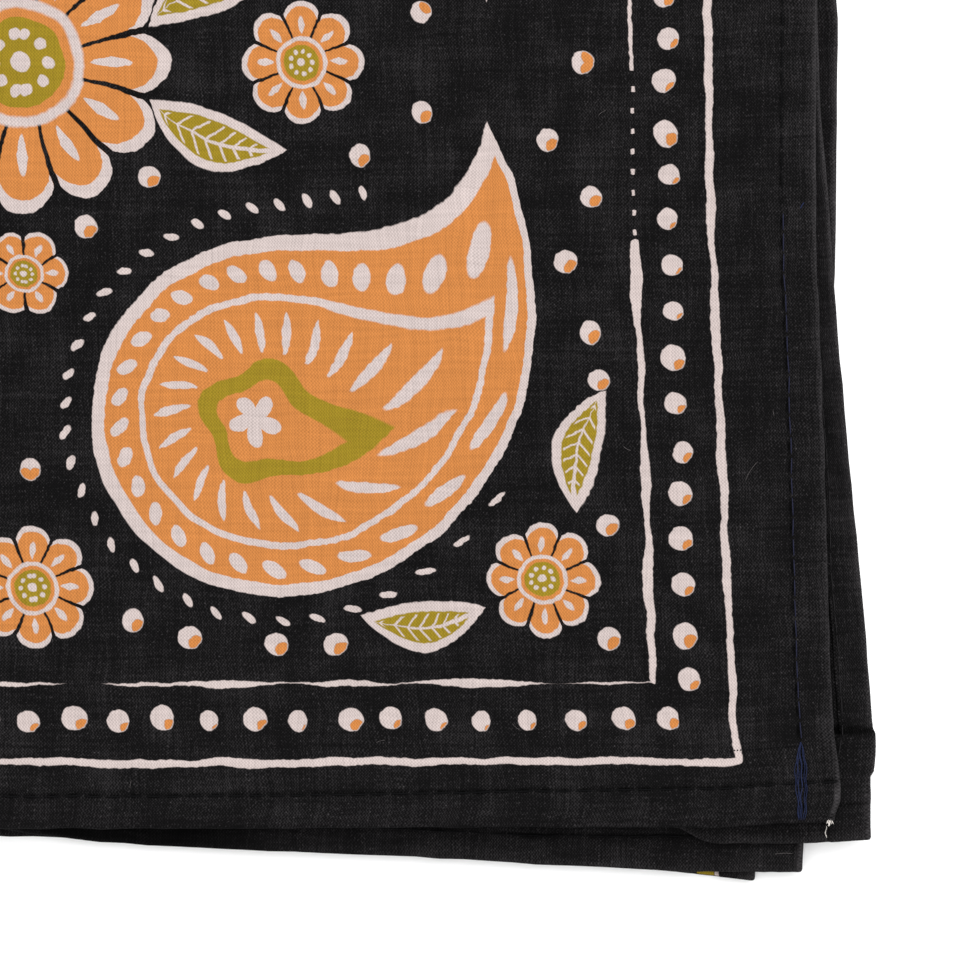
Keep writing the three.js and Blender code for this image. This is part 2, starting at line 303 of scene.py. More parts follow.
def calc(tree, what, *values, clamp=False):
    node = tree.nodes.new("ShaderNodeMath")
    node.operation = what
    for socket, value in zip(node.inputs, values):
        feed(tree, socket, value)
    if clamp:  # a Clamp node of its own, because Math's clamp box makes Cycles run out of room
        limit = tree.nodes.new("ShaderNodeClamp")
        tree.links.new(node.outputs[0], limit.inputs[0])
        node = limit
    return Wire(tree, node.outputs[0])


class Wire:
    def __init__(self, tree, socket):
        self.tree, self.socket = tree, socket

    def do(self, what, *others, clamp=False):
        return calc(self.tree, what, self, *others, clamp=clamp)

    def __add__(self, other):
        return self.do("ADD", other)

    def __sub__(self, other):
        return self.do("SUBTRACT", other)

    def __rsub__(self, other):
        return calc(self.tree, "SUBTRACT", other, self)

    def __mul__(self, other):
        return self.do("MULTIPLY", other)

    def __truediv__(self, other):
        return self.do("DIVIDE", other)

    __radd__, __rmul__ = __add__, __mul__


def size(wire):
    return wire.do("ABSOLUTE")


def least(first, *others):
    for other in others:
        first = first.do("MINIMUM", other)
    return first


def most(first, *others):
    for other in others:
        first = first.do("MAXIMUM", other)
    return first


def within(distance, soft=0.14):  # 1 where the distance is below 0, with a soft edge
    return distance.do("MULTIPLY_ADD", -1 / soft, 0.5, clamp=True)


def band(value, middle, halfWidth, soft=0.14):
    return within(size(value - middle) - halfWidth, soft)


def length(x, y):
    return (x * x + y * y).do("SQRT")


def newGroup(name, inputs, outputs):
    group = bpy.data.node_groups.new(name, "ShaderNodeTree")
    for way, rows in (("INPUT", inputs), ("OUTPUT", outputs)):
        for label, kind in rows:
            group.interface.new_socket(name=label, in_out=way, socket_type="NodeSocket" + kind)
    start, end = group.nodes.new("NodeGroupInput"), group.nodes.new("NodeGroupOutput")
    return group, {socket.name: Wire(group, socket) for socket in start.outputs if socket.name}, end


def useGroup(tree, group, **values):
    node = tree.nodes.new("ShaderNodeGroup")
    node.node_tree = group
    for label, value in values.items():
        feed(tree, node.inputs[label], value)
    return {socket.name: Wire(tree, socket) for socket in node.outputs}


def setOutputs(group, end, **values):
    for label, wire in values.items():
        group.links.new(wire.socket, end.inputs[label])


def parts(vector):
    node = vector.tree.nodes.new("ShaderNodeSeparateXYZ")
    feed(vector.tree, node.inputs[0], vector)
    return [Wire(vector.tree, socket) for socket in node.outputs]


def vectorOf(x, y, z=0.0):
    node = x.tree.nodes.new("ShaderNodeCombineXYZ")
    for socket, value in zip(node.inputs, (x, y, z)):
        feed(x.tree, socket, value)
    return Wire(x.tree, node.outputs[0])


def noiseOf(x, y, scale, detail=1.0, rough=0.5):
    point = vectorOf(x, y)
    node = x.tree.nodes.new("ShaderNodeTexNoise")
    node.noise_dimensions = "2D"
    for label, value in (("Scale", scale), ("Detail", detail), ("Roughness", rough), ("Vector", point)):
        feed(x.tree, node.inputs[label], value)
    return Wire(x.tree, node.outputs["Fac"])


def mix(tree, kind, factor, first, second):  # first where the factor is 0, second where it is 1
    node = tree.nodes.new("ShaderNodeMix")
    node.data_type, node.clamp_factor = kind, False
    a, b, out = {"FLOAT": (2, 3, 0), "VECTOR": (4, 5, 1), "RGBA": (6, 7, 2)}[kind]
    for number, value in ((0, factor), (a, first), (b, second)):
        feed(tree, node.inputs[number], value)
    return Wire(tree, node.outputs[out])


def apart(point, x, y):  # distance between a point and a fixed place
    node = point.tree.nodes.new("ShaderNodeVectorMath")
    node.operation = "DISTANCE"
    for socket, value in zip(node.inputs, (point, (x, y, 0))):
        feed(point.tree, socket, value)
    return Wire(point.tree, node.outputs["Value"])


def chance(x, y, z=0.0):
    point = vectorOf(x, y, z)
    node = x.tree.nodes.new("ShaderNodeTexWhiteNoise")
    feed(x.tree, node.inputs["Vector"], point)
    return Wire(x.tree, node.outputs["Value"])


def repeats(x, n):  # how far x is from the middle of its share, of n shares around a circle
    turned = x * (n / (2 * math.pi))
    return turned - turned.do("FLOOR") - 0.5


def floats(*labels):
    return [(label, "Float") for label in labels]


def startMotif(name, last, masks=("Orange", "White", "Olive")):  # X, Y and Size in mm, from its middle
    group, given, end = newGroup(name, floats("X", "Y", "Size", last), floats(*masks))
    return group, end, [given[label] for label in ("X", "Y", "Size", last)]


# A paisley: a drop whose tip is swirled round. Its sizes are shares of its head's radius.
paisley = {
    "tip": 1.35, "sharp": 1.8, "swirl": 0.62, "outline": 0.042,
    "beads": 28, "beadsAt": 0.84, "bead": 0.052, "line": 0.70, "lineWide": 0.02,
    "veins": 20, "veinsFrom": 0.40, "veinsTo": 0.62, "eye": 0.27,
    "fringe": 40, "fringeOff": 0.17, "fringeDot": 0.032,
}


def makePaisleyGroup():
    group, end, (x, y, head, turn) = startMotif("paisley", "Turn")
    far = length(x, y) / head
    angle = y.do("ARCTAN2", x) - turn + (far - 1) * paisley["swirl"]
    angle = angle.do("WRAP", math.pi, -math.pi)
    tip = (size(angle) * -paisley["sharp"]).do("EXPONENT") * paisley["tip"]
    rim = tip + 1
    slope = tip * paisley["sharp"] / rim
    outside = (far - rim) * head / (slope * slope + 1).do("SQRT")  # mm outside the outline
    level = far / rim
    wide = level * head
    bead = repeats(angle, paisley["beads"]) * (2 * math.pi / paisley["beads"])
    beads = within(length(bead * wide, (level - paisley["beadsAt"]) * head) - head * paisley["bead"])
    vein = size(repeats(angle, paisley["veins"]))
    veinWidth = 0.17 - (level - 0.5) * (level - 0.5) * 11
    veins = within((vein - veinWidth) * wide * (2 * math.pi / paisley["veins"]))
    veins = veins * within(paisley["veinsFrom"] - level, 0.01) * within(level - paisley["veinsTo"], 0.01)
    petal = (angle * 4).do("COSINE")
    eyeRim = paisley["eye"] + petal * 0.035
    star = within((far - 0.07 - size((angle * 2.5 + 0.4).do("COSINE")) * 0.10) * head)
    olive = band(level / eyeRim, 1.0, 0.2, 0.03)
    dash = repeats(angle, paisley["fringe"]) * (2 * math.pi / paisley["fringe"])
    offRow = outside - head * paisley["fringeOff"]
    fringe = within(length(dash * far * head, offRow) - head * paisley["fringeDot"])
    fringe = fringe * within(tip - 0.42, 0.05)
    white = most(band(outside, head * -0.03, head * paisley["outline"]), beads, veins, star, fringe,
                 band((level - paisley["line"]) * head, 0.0, head * paisley["lineWide"]))
    setOutputs(group, end, Orange=within(outside), White=white, Olive=olive)
    return group


# A round flower with petals, a ring and an olive middle.
rosette = {"notch": 0.26, "ring": 0.40, "ringWide": 0.035, "heart": 0.30, "seeds": 9, "seedsAt": 0.19,
           "seed": 0.04, "outline": 0.045}


def makeRosetteGroup():
    group, end, (x, y, head, petals) = startMotif("rosette", "Petals")
    far = length(x, y) / head
    angle = y.do("ARCTAN2", x)
    lobe = size((angle * petals * 0.5).do("COSINE"))
    rim = (1 - rosette["notch"]) + lobe.do("POWER", 0.55) * rosette["notch"]
    outside = (far - rim) * head
    gap = within((lobe - 0.16) * 0.6 * head * far / petals * 4) * within(0.42 - far, 0.02)
    vein = within((0.93 - lobe + size(far - 0.62) * 0.5) * head * 0.9)
    ring = band(far, rosette["ring"], rosette["ringWide"], 0.02)
    heart = within((far - rosette["heart"]) * head)
    seed = repeats(angle, rosette["seeds"]) * (2 * math.pi / rosette["seeds"])
    seeds = within((length(seed * far, far - rosette["seedsAt"]) - rosette["seed"]) * head)
    white = most(band(outside, head * -0.03, head * rosette["outline"]) * within(gap - 0.5, 0.1), ring,
                 vein * within(0.46 - far, 0.02) * within(far - 0.8, 0.02), seeds,
                 within((far - 0.07) * head))
    setOutputs(group, end, Orange=within(outside) * (1 - gap), White=white, Olive=heart)
    return group


# A pointed leaf along X, with a rib and short veins.
leaf = {"bend": 0.22, "broad": 0.36, "rib": 0.022, "veins": 9, "veinWide": 0.10, "outline": 0.55}


def makeLeafGroup():
    group, end, (x, y, reach, turn) = startMotif("leaf", "Turn", ("White", "Olive"))
    c, s = turn.do("COSINE"), turn.do("SINE")
    u, v = (x * c + y * s) / reach, (y * c - x * s) / reach
    v = v - u * u * leaf["bend"]
    outside = (size(v) - (1 - u * u) * leaf["broad"]) * reach * 0.85
    rib = within((size(v) - (1 - u) * leaf["rib"]) * reach) * within(outside)
    side = size(repeats((u + size(v) * 0.8) * math.pi, leaf["veins"]))
    veins = within((side - leaf["veinWide"]) * reach * 0.22) * within(outside + 0.8)
    white = most(band(outside, 0.0, leaf["outline"]), rib, veins)
    setOutputs(group, end, White=white, Olive=within(outside))
    return group


# The print, in mm from the outer white line. The field is one tile of motifs, mirrored again and again.
plan = {
    "lineFromSide": 13.6, "lineSlant": 0.016, "lineFromBottom": 9.1, "lineBend": 0.8,
    "innerLine": 11.0, "dashesFrom": 73.0, "dashesTo": 97.0, "dash": 2.9, "dashHalf": 0.42,
    "dotRow": 6.0, "dotPitch": 6.4, "sideDotsHigher": 2.1,
    "fieldFrom": 14.0, "tile": 84.0,
    "paisleys": [(52, 34, 22.8, 178)],  # (along, up, size, way the tip starts off in degrees)
    "rosettes": [  # (along, up, size, petals)
        (12, 11.5, 8, 8), (84, 84, 21, 12), (44, 84, 8.5, 8), (84, 10.5, 8.5, 8), (84, 54.5, 6, 6)],
    "leaves": [(29, 4.9, 8, -3), (57, 73, 9.5, 20), (6.5, 30, 8, 105)],  # (along, up, size, way in degrees)
    "spots": [  # (along, up)
        (4, 46), (7, 56), (3, 65), (9, 73), (4, 84), (27, 77), (36, 71), (66, 68), (75, 61), (70, 6),
        (62, 3.5), (50, 2.6), (41.5, 2.6), (84, 27), (3, 3.2), (2.5, 19), (3, 39.5)],
    "spotRadius": 1.58, "touchRadius": 1.05,
    "touch": 0.8,  # how far the orange touch lies off a dot's middle, both ways
    "waves": (1.0, 0.8), "waveFine": 0.16, "fray": 0.28, "frayFine": 1.1,  # the hand-drawn edges
    "outerWide": 0.3, "outerLuck": 0.44, "innerWide": (-0.35, 1.2, 0.32),  # at least, by luck, at the side
    "dot": 1.35, "dotLuck": 0.45, "dotFrom": 0.42, "dotWander": (0.16, 0.7), "dotShift": (0.8, 0.5),
    "dotTouch": 0.56,
}


def nearest(group, point, rows):  # the nearest motif's offset, size and last column
    best, where, last = None, None, None
    for alongTile, upTile, big, fourth in rows:
        far = apart(point, alongTile, upTile) * (1 / big)
        if best is None:
            best, where, last = far, (alongTile, upTile, big), fourth
            continue
        closer = far.do("LESS_THAN", best)
        where = mix(group, "VECTOR", closer, where, (alongTile, upTile, big))
        last = mix(group, "FLOAT", closer, last, fourth)
        best = least(best, far)
    return where, last


def makePrintGroup():
    group, given, end = newGroup("bandanaPrint", [("UV", "Vector")], floats("Orange", "White", "Olive"))
    u, v, _ = parts(given["UV"])
    across, up = u * cutAcross - cutStart, v * cutUp - cutStart
    waves, fine = plan["waves"], plan["waveFine"]
    wave = (noiseOf(across, up, fine) - 0.5) * waves[0]
    wave2 = (noiseOf(up, across + 90, fine) - 0.5) * waves[1]
    fray = noiseOf(across, up - 40, plan["frayFine"])
    fray = (fray - 0.5) * plan["fray"]
    fromBottom = least(up, upLength - up)
    slant = least(fromBottom, 120.0) * plan["lineSlant"]
    fromSide = least(across, acrossLength - across) - slant - plan["lineFromSide"]
    fromBottom = fromBottom - plan["lineFromBottom"]
    a, b = fromSide + wave + fray, fromBottom + wave2 + fray
    inField = within(plan["fieldFrom"] - 0.5 - least(a, b), 0.2)
    p = (a - plan["fieldFrom"]).do("PINGPONG", plan["tile"])
    q = (b - plan["fieldFrom"]).do("PINGPONG", plan["tile"])
    point = vectorOf(p, q)
    field = {}
    kinds = [(makePaisleyGroup(), "paisleys", "Turn"), (makeRosetteGroup(), "rosettes", "Petals"),
             (makeLeafGroup(), "leaves", "Turn")]
    for motif, rows, last in kinds:  # gathered one by one, which keeps the shader small
        table = [(*row[:3], math.radians(row[3]) if last == "Turn" else row[3]) for row in plan[rows]]
        where, fourth = nearest(group, point, table)
        middleP, middleQ, big = where if len(table) == 1 else parts(where)
        made = useGroup(group, motif, X=p - middleP, Y=q - middleQ, Size=big, **{last: fourth})
        for ink, mask in made.items():
            field[ink] = most(field[ink], mask) if ink in field else mask
    moved = vectorOf(p + plan["touch"], q + plan["touch"])
    spots, touches = None, None
    for alongTile, upTile in plan["spots"]:
        spot = apart(point, alongTile, upTile)
        touch = apart(moved, alongTile, upTile)
        spots = spot if spots is None else least(spots, spot)
        touches = touch if touches is None else least(touches, touch)
    spots, touches = spots - plan["spotRadius"], touches - plan["touchRadius"]
    spotMask = within(spots) * inField
    fieldTouch = within(touches) * within(spots + 0.1) * inField
    whiteField = most(field["White"] * inField, spotMask)

    p, q = most(a, b), least(a, b)
    thick = noiseOf(across + 300, up, 0.09, 0.0)
    onSide = within(a - b, 0.5)
    wide = plan["outerWide"] + thick * plan["outerLuck"]
    bend = plan["lineBend"]
    outer = within(length(least(a - bend, 0.0), least(b - bend, 0.0)) - bend - wide) * within(q - wide)
    thin, byLuck, byEdge = plan["innerWide"]
    wide = thick * byLuck + thin + onSide * byEdge
    cell = p / plan["dash"]
    dash = within(size(cell - cell.do("FLOOR") - 0.5) * plan["dash"] - plan["dashHalf"])
    dash = most(dash, within(plan["dashesTo"] - p, 0.3)) * 0.5 - 0.25
    wide = mix(group, "FLOAT", within(plan["dashesFrom"] - p, 0.3) * onSide, wide, dash)
    inner = within(size(q - plan["innerLine"]) - wide)
    inner = inner * within(plan["innerLine"] - 1.2 - p, 0.2)
    pitch = plan["dotPitch"]
    alongRow = p - onSide * plan["sideDotsHigher"]
    cell = (alongRow / pitch).do("FLOOR")
    side = (across - acrossLength / 2).do("SIGN") + (up - upLength / 2).do("SIGN") * 3 + onSide * 9
    luck = chance(cell, side, 2.0)
    luck2 = chance(cell, side, 7.0)
    wanderX, wanderY = plan["dotWander"]
    dotX = alongRow - (cell + plan["dotFrom"] + luck * wanderX) * pitch
    dotY = q - plan["dotRow"] - (luck2 - 0.5) * wanderY
    radius = plan["dot"] + luck2 * plan["dotLuck"]
    dot = length(dotX * (0.93 + luck * 0.14), dotY) - radius
    inRow = within(dot) * within(plan["dotRow"] + 1.7 - p)
    shift = plan["dotShift"][0] + luck * plan["dotShift"][1]
    touch = within(length(dotX + shift, dotY + shift) - radius * plan["dotTouch"])
    touch = touch * within(dot + 0.1) * inRow
    touch = most(touch, fieldTouch)
    setOutputs(group, end, Orange=most(touch, field["Orange"] * inField), Olive=field["Olive"] * inField,
               White=most(whiteField, outer, inner, inRow) * (1 - touch))
    return group


# Plain weave: thread over thread, each with its own tone and thickness.
weave = {"acrossPitch": 0.215, "upPitch": 0.24, "drift": 0.9, "over": 0.18, "ribs": 0.05, "luck": 0.05,
         "slubs": 0.2, "slubFine": 0.45, "slubLong": 0.11}


def makeWeaveGroup():
    group, given, end = newGroup("plainWeave", floats("Across", "Up"), floats("Tone", "Height", "Lint"))
    across, up = given["Across"], given["Up"]
    drift = (noiseOf(across, up, 0.22, 0.0) - 0.5) * weave["drift"]
    warp = (across + drift) / weave["acrossPitch"]
    weft = (up + drift * 0.7) / weave["upPitch"]
    over = (warp * math.pi).do("SINE") * (weft * math.pi).do("SINE")  # above 0 where the warp is on top
    warpLuck = chance((warp * 0.5).do("FLOOR"), 3.0)
    weftLuck = chance((weft * 0.5).do("FLOOR"), 6.0)
    fine, long = weave["slubFine"], weave["slubLong"]
    warpSlub = noiseOf(warp * fine, up * long, 1.0, 1.0, 0.7)
    weftSlub = noiseOf(across * long, weft * fine + 50, 1.0, 1.0, 0.7)
    tone = over * weave["over"] + (warp * math.pi).do("COSINE") * weave["ribs"]
    tone = tone + (warpLuck + weftLuck - 1) * weave["luck"] + (warpSlub + weftSlub - 1) * weave["slubs"]
    lint = noiseOf(across - 200, up, 2.6, 2.0, 0.75)
    setOutputs(group, end, Tone=tone, Height=over, Lint=lint)
    return group


weaveGroup = makeWeaveGroup()
printGroup = makePrintGroup()
print("print and weave groups made")


def linear(red, green, blue):  # screen colour to Blender's own
    return tuple((c / 255 / 12.92) if c <= 10 else ((c / 255 + 0.055) / 1.055) ** 2.4
                 for c in (red, green, blue)) + (1.0,)


inks = {
    "ground": linear(8, 7.4, 8), "orange": linear(164, 104, 54), "white": linear(164, 152, 149),
    "olive": linear(122, 103, 27), "reverse": linear(7, 6.5, 7), "navyThread": linear(24, 29, 50),
    "navySewn": linear(27, 28, 42), "blackThread": linear(6, 6, 7), "greyThread": linear(24, 23, 24),
    "lint": linear(146, 141, 144), "rawThread": linear(165, 160, 155), "paleFluff": linear(78, 74, 74),
}


def blendColour(tree, factor, first, second, how="MIX"):
    blend = mix(tree, "RGBA", factor, first, second)
    blend.socket.node.blend_type = how
    return blend


surface = {"clothRough": 0.95, "threadRough": 0.85, "gloss": 0.06, "bump": 0.55, "bumpDeep": 0.04}


def startMaterial(name, roughness):
    material = bpy.data.materials.new(name)
    material.use_nodes = True
    tree = material.node_tree
    shader = tree.nodes["Principled BSDF"]
    shader.inputs["Roughness"].default_value = roughness
    shader.inputs["Specular IOR Level"].default_value = surface["gloss"]
    return material, tree, shader


def finishCloth(tree, shader, base, woven):
    # painted shade: the shade attribute darkens the cloth's colour along seam grooves, in a pleat and on
    # the third's bottom hem
    shade = tree.nodes.new("ShaderNodeAttribute")
    shade.attribute_name = "shade"
    tone = woven["Tone"] - Wire(tree, shade.outputs["Fac"])
    grey = tree.nodes.new("ShaderNodeCombineColor")
    lit = tone + 1
    for socket in grey.inputs[:3]:
        tree.links.new(lit.socket, socket)
    shaded = blendColour(tree, 1.0, base, Wire(tree, grey.outputs[0]), "MULTIPLY")
    tree.links.new(shaded.socket, shader.inputs["Base Color"])
    bump = tree.nodes.new("ShaderNodeBump")
    bump.inputs["Strength"].default_value = surface["bump"]
    bump.inputs["Distance"].default_value = surface["bumpDeep"] * mm
    tree.links.new(woven["Height"].socket, bump.inputs["Height"])
    tree.links.new(bump.outputs[0], shader.inputs["Normal"])


# Marks beside the hems: the folds' rims are lighter, partly from wear and partly as a painted highlight.
# The back quarter's hem has a bit of white and olive print turned up on it.
marks = {
    "foldAt": 0.19, "rimWide": 0.3, "rimFades": 2.2, "wearAndHighlight": 0.044, "moreWearAndHighlight": 0.016, "highFrom": 80.0,
    "bottomWearAndHighlight": 0.022, "bottomTo": 58.0, "cornerWearAndHighlight": 0.07, "crowns": 0.125, "mottle": 0.05,
    "grain": 0.07, "olive": (7.45, 1.3), "white": (5.6, 0.45),
}


def wornAt(away):  # 1 at a hem's fold, falling off over about a millimetre; there the rim is worn and has a painted highlight
    beyond = size(away + marks["foldAt"]) - marks["rimWide"]
    return least(beyond * -marks["rimFades"], 0.0).do("EXPONENT")


def clothMaterial(name, ground, printed):
    material, tree, shader = startMaterial(name, surface["clothRough"])
    uv = tree.nodes.new("ShaderNodeUVMap")
    uv.uv_map = "cut"
    place = Wire(tree, uv.outputs[0])
    u, v, _ = parts(place)
    across, up = u * cutAcross - cutStart, v * cutUp - cutStart
    woven = useGroup(tree, weaveGroup, Across=across, Up=up)
    patchy = noiseOf(across, up + 70, 0.15, 2.0)
    lint = (woven["Lint"] - 0.66).do("MULTIPLY", 0.55, clamp=True)
    fromSide = least(across, acrossLength - across)
    high = within(marks["highFrom"] - least(up, upLength - up), 24.0)
    # the rims lightened, partly wear and partly a painted highlight: more below 80 mm, along a bottom hem
    # near the corner, and at the hem's corner
    wearAndHighlight = wornAt(fromSide) * (high * marks["moreWearAndHighlight"] + marks["wearAndHighlight"])
    wearAndHighlight = wearAndHighlight + wornAt(upLength - up) * within(fromSide - marks["bottomTo"], 12.0) * marks["bottomWearAndHighlight"]
    corner = within(length(across - 0.2, (up - 3.4) * 0.25) - 0.3, 0.8)
    pale = lint + (patchy - 0.42) * marks["mottle"] + wearAndHighlight + corner * marks["cornerWearAndHighlight"]
    pale = pale + woven["Tone"] * marks["crowns"] + (woven["Lint"] - 0.5) * marks["grain"]
    # the lint's pale grey also gives the rims their painted highlight
    cotton = blendColour(tree, pale.do("MULTIPLY", 1.0, clamp=True), ground, inks["lint"])
    if printed:
        masks = useGroup(tree, printGroup, UV=place)
        coat = noiseOf(across + 500, up, 2.2, 1.0, 0.7)
        worn = 1 - (coat - 0.62).do("MULTIPLY", 1.2, clamp=True) * 0.4
        onFlap = within(up + 0.4, 0.2)
        fromBack = acrossLength - across
        olive = most(masks["Olive"], band(fromBack, *marks["olive"]) * onFlap)
        white = most(masks["White"], band(fromBack, *marks["white"]) * onFlap)
        cotton = blendColour(tree, masks["Orange"] * worn, cotton, inks["orange"])
        cotton = blendColour(tree, olive * worn, cotton, inks["olive"])
        cotton = blendColour(tree, white, cotton, inks["white"])
    finishCloth(tree, shader, cotton, woven)
    return material


def plainMaterial(name, colour):
    material, tree, shader = startMaterial(name, surface["threadRough"])
    where = tree.nodes.new("ShaderNodeTexCoord")
    x, y, _ = parts(Wire(tree, where.outputs["Object"]))
    twist = noiseOf(x, y, 7000.0)
    pale = tuple(min(c * 2.5, 1) for c in colour[:3]) + (1.0,)
    shade = blendColour(tree, (twist - 0.4).do("MULTIPLY", 1.5, clamp=True), colour, pale)
    tree.links.new(shade.socket, shader.inputs["Base Color"])
    return material


printedCotton = clothMaterial("printedCotton", inks["ground"], True)
reverseCotton = clothMaterial("reverseCotton", inks["reverse"], False)
threads = {}
for name in ("blackThread", "greyThread", "navyThread", "navySewn", "rawThread", "paleFluff"):
    threads[name] = plainMaterial(name, inks[name])
print("materials made")


# The cloth is one grid over the cut square, without the four corners that are cut out of the hems.
grid = {"tuckSteps": 4, "turnSteps": 6, "fine": 1.43, "fineReach": 121.0, "coarse": 10.0}


def hemStops():
    stops = [("flap", 0.0), ("tuck", 0.0)]
    stops += [("tuck", k / grid["tuckSteps"]) for k in range(1, grid["tuckSteps"] + 1)]
    stops += [("back", t) for t in (0.35, 0.7)]
    stops += [("turn", k / grid["turnSteps"]) for k in range(grid["turnSteps"] + 1)]
    return stops


def bodyStops(foldLength, total):
    near = [1.0, 1.9, 2.8, 3.15, 3.5, 3.85, 4.15, 4.4, 4.6, 4.8, 4.95, 5.1, 5.3, 5.5, 5.75, 6.3]
    near += [grid["fine"] * k for k in range(5, int(grid["fineReach"] / grid["fine"]) + 1)]
    coarse = [126 + grid["coarse"] * k for k in range(15)]
    fold = [quarter + foldLength * k / 8 for k in range(9)]
    far = [1.0, 2.0, 3.2, 3.9, 4.1, 4.3, 4.7, 4.9, 5.1, 5.5, 6.4, 7.5, 8.6, 9.3, 10.3, 11.5, 12.8, 13.7,
           14.2, 14.6, 14.9, 15.2, 15.5, 15.8, 16.2, 16.8, 18.5]
    far += [21 + 3.5 * k for k in range(28)] + coarse
    return near + coarse + fold + [total - s for s in reversed(far)]


def profile(zone, t, hem, radius, deep=0.0):  # (from the edge, behind the ply, the print side's direction)
    tuck = square["tuckRadius"]
    bend = math.pi * (1 - t)
    if zone == "turn":
        return (radius - (radius - deep) * math.sin(bend), radius - (radius - deep) * math.cos(bend),
                -math.sin(bend), -math.cos(bend))
    far = hem - tuck
    if zone == "back":
        return far + (radius - far) * t, 2 * radius - deep, 0, 1
    if zone == "tuck":
        return (far + tuck * math.sin(bend), 2 * radius - tuck + tuck * math.cos(bend),
                math.sin(bend), math.cos(bend))
    return max(far - square["tuckedIn"], radius), 2 * radius - 2 * tuck, 0, -1


def cutPlace(stop, total):  # how far a stop is from the cut cloth's first raw edge
    zone, t, s, atEnd = stop
    distance = 0
    for name, span in hemZones:
        if name == zone:
            distance += span * t
            break
        distance += span
    else:
        distance += s - square["hemRadius"]
    return total + 2 * cutStart - distance if atEnd else distance


def stopsFor(foldLength, total):  # (zone, way through it, way across the body, at the far end)
    hem = [(zone, t, 0.0, False) for zone, t in hemStops()]
    body = [("body", 0.0, s, False) for s in bodyStops(foldLength, total)]
    return hem + body + [(zone, t, 0.0, True) for zone, t, _, _ in reversed(hem)]


def clothPoint(acrossStop, upStop, sideOfCloth):
    spots = []
    for stop, total in ((acrossStop, acrossLength), (upStop, upLength)):
        spots.append(stop[2] if stop[0] == "body" else (total if stop[3] else 0.0))
    name = quarterOf(*spots)
    zoneA, t, s, farA = acrossStop
    zoneB, t2, s2, farB = upStop
    alongSide = min(s2, upLength - s2) if zoneB == "body" else 0
    alongBottom = min(s, acrossLength - s) if zoneA == "body" else 0
    sideHem = seamFrom(name, "side", alongSide) + square["pastSeam"]
    bottomHem = seamFrom(name, "bottom", alongBottom) + square["pastSeam"]
    radius = square["hemRadius"]
    thinner = step(alongSide, square["cornerFrom"], square["cornerTo"])
    sideRadius = radius + (square["cornerRadius"] - radius) * (1 - thinner)
    if zoneB == "body":
        up, behind2, lean2, face2 = s2, 0.0, 0.0, -1.0
    else:
        up, behind2, lean2, face2 = profile(zoneB, t2, bottomHem, radius)
    if zoneA == "body":
        across, behind, lean, face = s, behind2, 0.0, face2
    elif zoneB == "body":
        across, behind, lean, face = profile(zoneA, t, sideHem, sideRadius)
    else:  # at a corner, where the side hem holds the rolled bottom edge
        across, behind, lean, face = profile(zoneA, t, sideHem, sideRadius, behind2 * 0.8)
        lean, face = lean * abs(face2), face * abs(face2)
    across, up = across + lean * sideOfCloth, up + lean2 * sideOfCloth
    if farA:
        across = acrossLength - across
    if farB:
        up = upLength - up
    point = place(across, up, -(behind + face * sideOfCloth))
    return point, darkness(across, up, point)


def buildCloth():
    acrossStops = stopsFor(math.pi * folds["leftRadius"], acrossLength)
    upStops = stopsFor(math.pi * folds["topRadius"], upLength)
    wide, high, hem = len(acrossStops), len(upStops), len(hemStops()) - 1

    def inHem(i, count):
        return i < hem or i > count - 1 - hem

    def leftOut(acrossHem, upStop):  # inside a corner, beyond the roll of the bottom edge
        return acrossHem and upStop[0] != "body" and (upStop[0] != "turn" or upStop[1] < 0.45)

    points, shades, uvs, number = [], [], [], {}
    for side in (half, -half):
        for j, upStop in enumerate(upStops):
            for i, acrossStop in enumerate(acrossStops):
                if leftOut(inHem(i, wide), upStop):
                    continue
                number[(side > 0, i, j)] = len(points)
                point, shade = clothPoint(acrossStop, upStop, side)
                points.append(point)
                shades.append(shade)
                cutX, cutY = cutPlace(acrossStop, acrossLength), cutPlace(upStop, upLength)
                uvs.append((cutX / cutAcross, cutY / cutUp))
    faces, reverse, edges = [], [], {}
    for j in range(high - 1):
        for i in range(wide - 1):
            ring = [(i, j), (i + 1, j), (i + 1, j + 1), (i, j + 1)]
            if any((True, *spot) not in number for spot in ring):
                continue
            faces.append([number[(True, *spot)] for spot in reversed(ring)])
            reverse.append([number[(False, *spot)] for spot in ring])
            for a, b in zip(ring, ring[1:] + ring[:1]):
                edges[(a, b)] = edges.get((a, b), 0) + 1
    rim = [(a, b) for a, b in edges if (b, a) not in edges]
    walls = [[number[(True, *a)], number[(True, *b)], number[(False, *b)], number[(False, *a)]]
             for a, b in rim]
    mesh = bpy.data.meshes.new("bandanaCloth")
    mesh.from_pydata(points, [], faces + reverse + walls)
    layer = mesh.uv_layers.new(name="cut")
    for loop in mesh.loops:
        layer.data[loop.index].uv = uvs[loop.vertex_index]
    mesh.attributes.new("shade", "FLOAT", "POINT").data.foreach_set("value", shades)
    for kind in (printedCotton, reverseCotton):
        mesh.materials.append(kind)
    for face in mesh.polygons:
        face.use_smooth = face.index < len(faces) + len(reverse)
        face.material_index = 0 if face.index < len(faces) else 1
    return addObject("bandanaCloth", mesh)


cloth = buildCloth()
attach(cloth, "root")
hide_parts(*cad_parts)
cutAcross * mm
cutUp * mm
print("cloth made", len(cloth.data.vertices))


def skin(faces, base, rings, sides):  # the walls and end caps over rings of points
    for r in range(rings - 1):
        for n in range(sides):
            a, b = base + r * sides + n, base + r * sides + (n + 1) % sides
            faces.append((a, b, b + sides, a + sides))
    faces.append(tuple(base + n for n in reversed(range(sides))))
    faces.append(tuple(base + (rings - 1) * sides + n for n in range(sides)))


